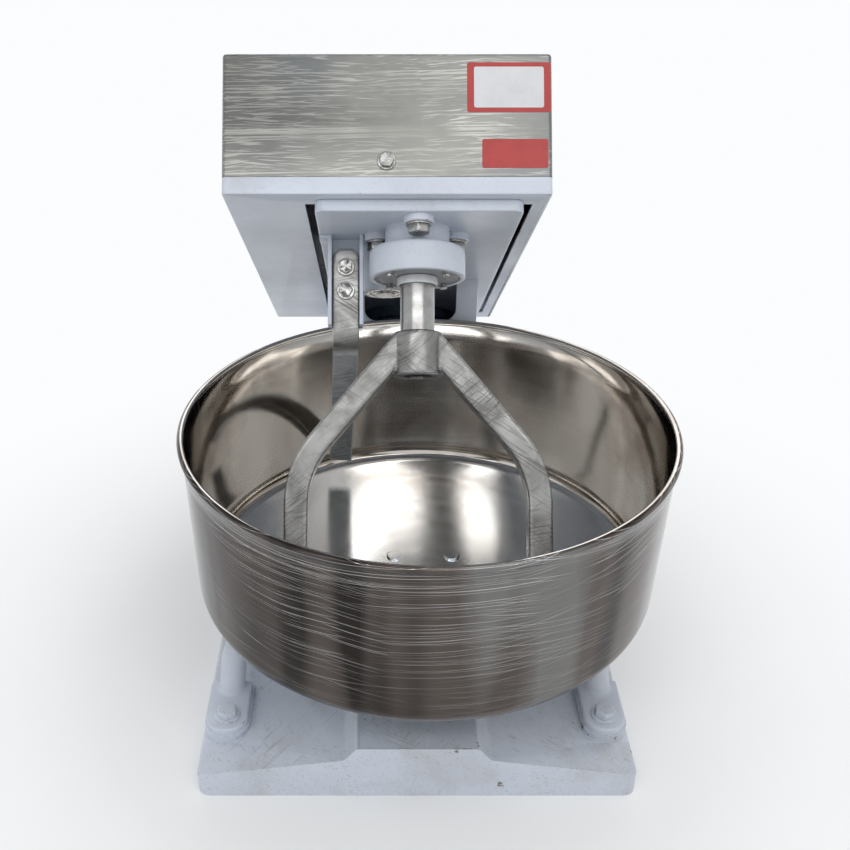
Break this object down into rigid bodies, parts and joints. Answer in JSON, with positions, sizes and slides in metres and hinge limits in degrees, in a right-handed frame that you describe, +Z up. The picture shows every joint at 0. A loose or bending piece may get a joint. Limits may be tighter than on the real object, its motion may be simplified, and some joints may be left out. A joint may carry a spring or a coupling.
{
  "type": "dough mixer",
  "caption": "Bench dough kneader with an open steel bowl, a leaning cast fork, a scraper bar and a boxed belt drive on a white painted frame.",
  "frame": {"origin": "underside of the base, in the fork's plane, straight below the bowl's centre line front to back", "axes": "+Z up, +X to the right seen from the front, +Y to the rear"},
  "size_m": [0.52, 0.8591, 0.6717],
  "materials": {
    "frame_paint": "semi-gloss bluish-white paint with small chips",
    "cover_steel": "bright stainless sheet with fine drawn scratches",
    "bowl_steel": "polished stainless steel",
    "fork_cast": "cast aluminium with scratches",
    "shaft_steel": "turned steel",
    "zinc": "bright zinc plate",
    "bearing_steel": "ground bearing steel",
    "bronze": "plain bearing bronze",
    "lid_grey": "grey paint",
    "pulley_iron": "dark cast iron with bright grooves",
    "motor_paint": "dark blue-grey motor paint",
    "black_plastic": "matte black plastic",
    "belt_rubber": "black rubber"
  },
  "bodies": {
    "frame": {"base": "frame_paint", "bowl_stand": "frame_paint", "stand_bolts": "zinc", "bowl_bush": "bronze", "bowl_thrust_bearing": "bearing_steel", "column": "frame_paint", "column_bolts": "zinc", "cable_gland": "black_plastic", "rear_panel": "frame_paint", "rear_panel_screws": "zinc", "head_plate": "frame_paint", "cover_rail": "frame_paint", "belt_cover": "cover_steel", "cover_bolts": "zinc", "gear_housing": "frame_paint", "housing_bolts": "zinc", "housing_lid": "lid_grey", "lid_screws": "zinc", "shaft_seal": "frame_paint", "spindle_bearing_lower": "bearing_steel", "spindle_bearing_upper": "bearing_steel", "countershaft_tube": "frame_paint", "countershaft_bearing_lower": "bearing_steel", "countershaft_bearing_upper": "bearing_steel", "v_belt": "belt_rubber", "motor_front_shield": "motor_paint", "motor_body": "motor_paint", "motor_rear_shield": "motor_paint", "fan_cover": "motor_paint", "motor_bolts": "zinc", "scraper_bracket": "frame_paint", "scraper_bar": "fork_cast", "scraper_bolts": "zinc"},
    "beater": {"spindle": "shaft_steel", "spindle_gear": "shaft_steel", "gear_nut": "zinc", "fork": "fork_cast", "fork_bolt": "zinc"},
    "countershaft": {"pinion_shaft": "shaft_steel", "large_pulley": "pulley_iron", "pulley_nut": "zinc"},
    "motor_rotor": {"motor_shaft": "shaft_steel", "motor_pulley": "pulley_iron", "cooling_fan": "black_plastic"},
    "bowl": {"bowl": "bowl_steel", "bowl_hub": "shaft_steel", "hub_bolts": "zinc", "bowl_circlip": "zinc"}
  },
  "joints": [
    {"name": "fork_turn", "type": "hinge", "parent": "frame", "child": "beater", "pos_m": [0, 0, 0.38], "axis": [0, 0.5736, 0.8192], "continuous": true},
    {"name": "countershaft_turn", "type": "hinge", "parent": "frame", "child": "countershaft", "pos_m": [-0.032, 0.05556, 0.34109], "axis": [0, 0.5736, 0.8192], "continuous": true},
    {"name": "motor_turn", "type": "hinge", "parent": "frame", "child": "motor_rotor", "pos_m": [0, 0.36041, 0.12764], "axis": [0, 0.5736, 0.8192], "continuous": true},
    {"name": "bowl_turn", "type": "hinge", "parent": "frame", "child": "bowl", "pos_m": [0.012, 0, 0], "axis": [0, 0, 1], "continuous": true}
  ],
  "couplings": [
    {"joint": "countershaft_turn", "follows": "fork_turn", "ratio": -4},
    {"joint": "motor_turn", "follows": "fork_turn", "ratio": -16}
  ]
}
